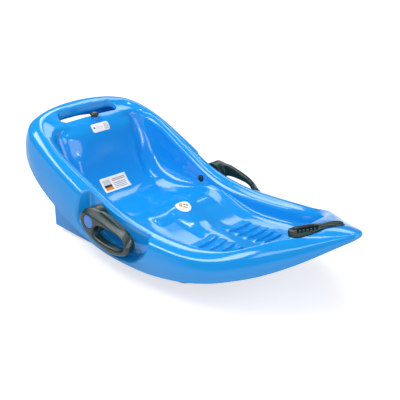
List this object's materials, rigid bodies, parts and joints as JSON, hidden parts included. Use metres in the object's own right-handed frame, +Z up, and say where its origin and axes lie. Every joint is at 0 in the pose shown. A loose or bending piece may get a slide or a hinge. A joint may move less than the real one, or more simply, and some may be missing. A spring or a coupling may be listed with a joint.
{
  "type": "plastic snow sled",
  "caption": "Moulded one-seat snow sled with a high backrest, hand slot, foot ribs, side brake levers that swing toothed steel claws, a tow handle and a coupling knob.",
  "frame": {"origin": "on the ground under the middle of the sled's length and width", "axes": "+X towards the nose, +Y towards the rider's left, +Z up"},
  "size_m": [0.9484, 0.496, 0.3324],
  "materials": {
    "blue_shell": "glossy sky-blue moulded polypropylene",
    "blue_cap": "satin mid-blue moulded cap",
    "black_plastic": "satin near-black moulded plastic with a fine grain",
    "zinc_steel": "zinc-plated steel"
  },
  "bodies": {
    "sled": {"shell": "blue_shell", "coupling_knob": "black_plastic", "coupling_knob_screw": "zinc_steel", "pivot_bolt_right": "zinc_steel", "washer_right": "zinc_steel", "spacer_sleeve_right": "zinc_steel", "lock_nut_right": "zinc_steel", "nut_cap_right": "black_plastic", "pivot_bolt_left": "zinc_steel", "washer_left": "zinc_steel", "spacer_sleeve_left": "zinc_steel", "lock_nut_left": "zinc_steel", "nut_cap_left": "black_plastic"},
    "right_brake": {"brake_lever_right": "black_plastic", "hub_cap_right": "blue_cap", "brake_claw_right": "zinc_steel", "claw_screw_right_1": "zinc_steel", "claw_screw_right_2": "zinc_steel"},
    "left_brake": {"brake_lever_left": "black_plastic", "hub_cap_left": "blue_cap", "brake_claw_left": "zinc_steel", "claw_screw_left_1": "zinc_steel", "claw_screw_left_2": "zinc_steel"},
    "tow_handle": {"tow_handle": "black_plastic"}
  },
  "joints": [
    {"name": "brake_right", "type": "hinge", "parent": "sled", "child": "right_brake", "pos_m": [-0.12125, -0.2, 0.1405], "axis": [0, -1, 0], "range_deg": [0, 49]},
    {"name": "brake_left", "type": "hinge", "parent": "sled", "child": "left_brake", "pos_m": [-0.12125, 0.2, 0.1405], "axis": [0, -1, 0], "range_deg": [0, 49]},
    {"name": "tow_handle_pull", "type": "slide", "parent": "sled", "child": "tow_handle", "axis": [-0.1177, 0, 0.993], "range_m": [0, 0.12]}
  ]
}
